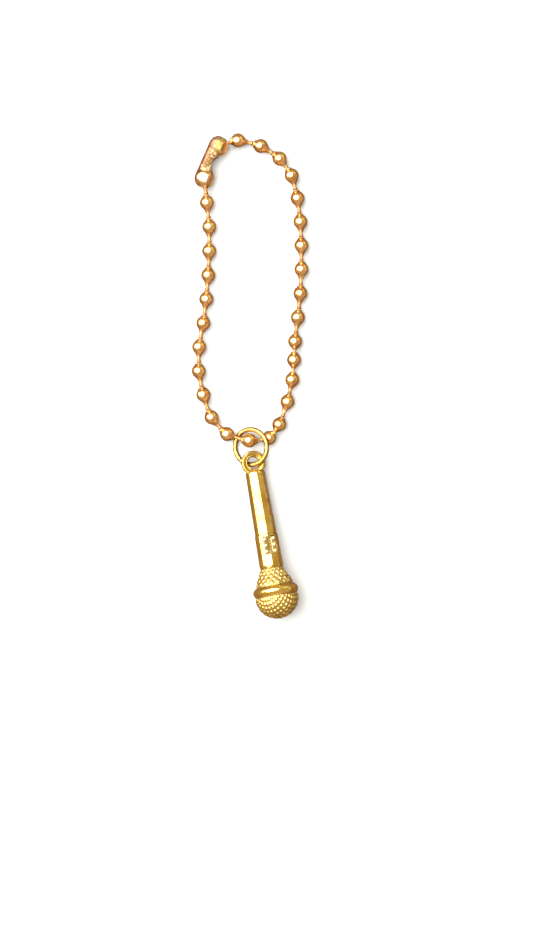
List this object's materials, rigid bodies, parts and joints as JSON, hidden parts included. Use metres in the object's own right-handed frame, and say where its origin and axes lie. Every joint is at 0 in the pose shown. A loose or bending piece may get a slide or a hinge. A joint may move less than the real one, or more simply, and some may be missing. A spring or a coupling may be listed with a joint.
{
  "type": "microphone charm on ball chain",
  "caption": "Gold-plated miniature handheld microphone charm with an eye, hung by a jump ring on a ball chain that a stamped clasp closes into a loop.",
  "frame": {"origin": "middle of the object's box, on the table it lies on", "axes": "+Z up from the table, +Y from the microphone's head towards the far end of the chain loop, +X to the right seen from above with +Y up"},
  "size_m": [0.0198, 0.0822, 0.0078],
  "materials": {
    "chain_gold": "polished rose-tinted gold plating",
    "clasp_gold": "stamped sheet with rose-tinted gold plating, satin inside",
    "ring_gold": "polished yellow gold plating on round wire",
    "microphone_gold": "polished yellow gold plating",
    "mesh_gold": "cast mesh texture with yellow gold plating",
    "inner_brass": "plain machined brass"
  },
  "bodies": {
    "microphone": {"tail_cap": "microphone_gold", "handle_tube": "microphone_gold", "collar": "microphone_gold", "switch_plate": "microphone_gold", "neck_grille": "mesh_gold", "belt_ring": "microphone_gold", "ball_grille": "mesh_gold", "tie_stud": "inner_brass", "head_hub": "inner_brass"},
    "jump_ring": {"jump_ring": "ring_gold"},
    "chain_01": {"chain_01": "chain_gold"},
    "chain_02": {"chain_02": "chain_gold"},
    "chain_03": {"chain_03": "chain_gold"},
    "chain_04": {"chain_04": "chain_gold"},
    "chain_05": {"chain_05": "chain_gold"},
    "chain_06": {"chain_06": "chain_gold"},
    "chain_07": {"chain_07": "chain_gold"},
    "chain_08": {"chain_08": "chain_gold"},
    "chain_09": {"chain_09": "chain_gold"},
    "chain_10": {"chain_10": "chain_gold"},
    "chain_11": {"chain_11": "chain_gold"},
    "chain_12": {"chain_12": "chain_gold"},
    "chain_13": {"chain_13": "chain_gold"},
    "chain_14": {"chain_14": "chain_gold"},
    "chain_15": {"chain_15": "chain_gold"},
    "chain_16": {"chain_16": "chain_gold"},
    "chain_17": {"chain_17": "chain_gold"},
    "chain_18": {"chain_18": "chain_gold"},
    "chain_19": {"chain_19": "chain_gold"},
    "chain_20": {"chain_20": "chain_gold"},
    "chain_21": {"chain_21": "chain_gold"},
    "chain_22": {"chain_22": "chain_gold"},
    "chain_23": {"chain_23": "chain_gold"},
    "chain_24": {"chain_24": "chain_gold"},
    "chain_25": {"chain_25": "chain_gold"},
    "chain_26": {"chain_26": "chain_gold"},
    "chain_27": {"chain_27": "chain_gold"},
    "chain_28": {"chain_28": "chain_gold"},
    "chain_29": {"chain_29": "chain_gold"},
    "clasp": {"clasp": "clasp_gold", "clasp_bead": "chain_gold"}
  },
  "joints": [
    {"name": "jump_ring_swing", "type": "hinge", "parent": "microphone", "child": "jump_ring", "pos_m": [0.00068, -0.01508, 0.00171], "axis": [0, 0, 1], "range_deg": [-15, 25]},
    {"name": "ring_bead_turn", "type": "hinge", "parent": "jump_ring", "child": "chain_17", "pos_m": [-0.00014, -0.011, 0.00175], "axis": [0, 0, 1], "range_deg": [-12, 12]},
    {"name": "link_16", "type": "hinge", "parent": "chain_17", "child": "chain_16", "pos_m": [0.00085, -0.01107, 0.00174], "axis": [0, 0, 1], "range_deg": [-16, 0]},
    {"name": "link_15", "type": "hinge", "parent": "chain_16", "child": "chain_15", "pos_m": [0.004, -0.00991, 0.00115], "axis": [0, 0, 1], "range_deg": [-16, 0]},
    {"name": "link_14", "type": "hinge", "parent": "chain_15", "child": "chain_14", "pos_m": [0.00539, -0.00737, 0.0012], "axis": [0, 0, 1], "range_deg": [-16, 0]},
    {"name": "link_13", "type": "hinge", "parent": "chain_14", "child": "chain_13", "pos_m": [0.00661, -0.00344, 0.0012], "axis": [0, 0, 1], "range_deg": [-16, 0]},
    {"name": "link_12", "type": "hinge", "parent": "chain_13", "child": "chain_12", "pos_m": [0.0073, 0.00034, 0.0012], "axis": [0, 0, 1], "range_deg": [-16, 0]},
    {"name": "link_11", "type": "hinge", "parent": "chain_12", "child": "chain_11", "pos_m": [0.00754, 0.00371, 0.0012], "axis": [0, 0, 1], "range_deg": [-16, 0]},
    {"name": "link_10", "type": "hinge", "parent": "chain_11", "child": "chain_10", "pos_m": [0.00776, 0.00685, 0.0012], "axis": [0, 0, 1], "range_deg": [-16, 0]},
    {"name": "link_09", "type": "hinge", "parent": "chain_10", "child": "chain_09", "pos_m": [0.00823, 0.01093, 0.0012], "axis": [0, 0, 1], "range_deg": [-16, 0]},
    {"name": "link_08", "type": "hinge", "parent": "chain_09", "child": "chain_08", "pos_m": [0.00862, 0.01501, 0.0012], "axis": [0, 0, 1], "range_deg": [-16, 0]},
    {"name": "link_07", "type": "hinge", "parent": "chain_08", "child": "chain_07", "pos_m": [0.00875, 0.01912, 0.0012], "axis": [0, 0, 1], "range_deg": [-16, 0]},
    {"name": "link_06", "type": "hinge", "parent": "chain_07", "child": "chain_06", "pos_m": [0.00871, 0.02317, 0.0012], "axis": [0, 0, 1], "range_deg": [-16, 0]},
    {"name": "link_05", "type": "hinge", "parent": "chain_06", "child": "chain_05", "pos_m": [0.00846, 0.02721, 0.0012], "axis": [0, 0, 1], "range_deg": [-16, 0]},
    {"name": "link_04", "type": "hinge", "parent": "chain_05", "child": "chain_04", "pos_m": [0.00786, 0.03119, 0.0012], "axis": [0, 0, 1], "range_deg": [-16, 0]},
    {"name": "link_03", "type": "hinge", "parent": "chain_04", "child": "chain_03", "pos_m": [0.00659, 0.03492, 0.0012], "axis": [0, 0, 1], "range_deg": [-16, 0]},
    {"name": "link_02", "type": "hinge", "parent": "chain_03", "child": "chain_02", "pos_m": [0.00425, 0.03758, 0.0012], "axis": [0, 0, 1], "range_deg": [-16, 0]},
    {"name": "link_01", "type": "hinge", "parent": "chain_02", "child": "chain_01", "pos_m": [0.00087, 0.03941, 0.00123], "axis": [0, 0, 1], "range_deg": [-16, 0]},
    {"name": "link_18", "type": "hinge", "parent": "chain_17", "child": "chain_18", "pos_m": [-0.00114, -0.01093, 0.00176], "axis": [0, 0, 1], "range_deg": [0, 16]},
    {"name": "link_19", "type": "hinge", "parent": "chain_18", "child": "chain_19", "pos_m": [-0.00469, -0.00931, 0.00116], "axis": [0, 0, 1], "range_deg": [0, 16]},
    {"name": "link_20", "type": "hinge", "parent": "chain_19", "child": "chain_20", "pos_m": [-0.00701, -0.00618, 0.0012], "axis": [0, 0, 1], "range_deg": [0, 16]},
    {"name": "link_21", "type": "hinge", "parent": "chain_20", "child": "chain_21", "pos_m": [-0.00818, -0.00224, 0.0012], "axis": [0, 0, 1], "range_deg": [0, 16]},
    {"name": "link_22", "type": "hinge", "parent": "chain_21", "child": "chain_22", "pos_m": [-0.00878, 0.00181, 0.0012], "axis": [0, 0, 1], "range_deg": [0, 16]},
    {"name": "link_23", "type": "hinge", "parent": "chain_22", "child": "chain_23", "pos_m": [-0.00852, 0.00591, 0.0012], "axis": [0, 0, 1], "range_deg": [0, 16]},
    {"name": "link_24", "type": "hinge", "parent": "chain_23", "child": "chain_24", "pos_m": [-0.0078, 0.00995, 0.0012], "axis": [0, 0, 1], "range_deg": [0, 16]},
    {"name": "link_25", "type": "hinge", "parent": "chain_24", "child": "chain_25", "pos_m": [-0.00734, 0.01403, 0.0012], "axis": [0, 0, 1], "range_deg": [0, 16]},
    {"name": "link_26", "type": "hinge", "parent": "chain_25", "child": "chain_26", "pos_m": [-0.00706, 0.01812, 0.0012], "axis": [0, 0, 1], "range_deg": [0, 16]},
    {"name": "link_27", "type": "hinge", "parent": "chain_26", "child": "chain_27", "pos_m": [-0.00693, 0.02224, 0.0012], "axis": [0, 0, 1], "range_deg": [0, 16]},
    {"name": "link_28", "type": "hinge", "parent": "chain_27", "child": "chain_28", "pos_m": [-0.007, 0.02633, 0.00123], "axis": [0, 0, 1], "range_deg": [0, 16]},
    {"name": "link_29", "type": "hinge", "parent": "chain_28", "child": "chain_29", "pos_m": [-0.00743, 0.03041, 0.00146], "axis": [0, 0, 1], "range_deg": [0, 16]},
    {"name": "clasp_turn", "type": "hinge", "parent": "chain_29", "child": "clasp", "pos_m": [-0.00774, 0.03351, 0.0017], "axis": [0, 0, 1], "range_deg": [0, 16]}
  ]
}
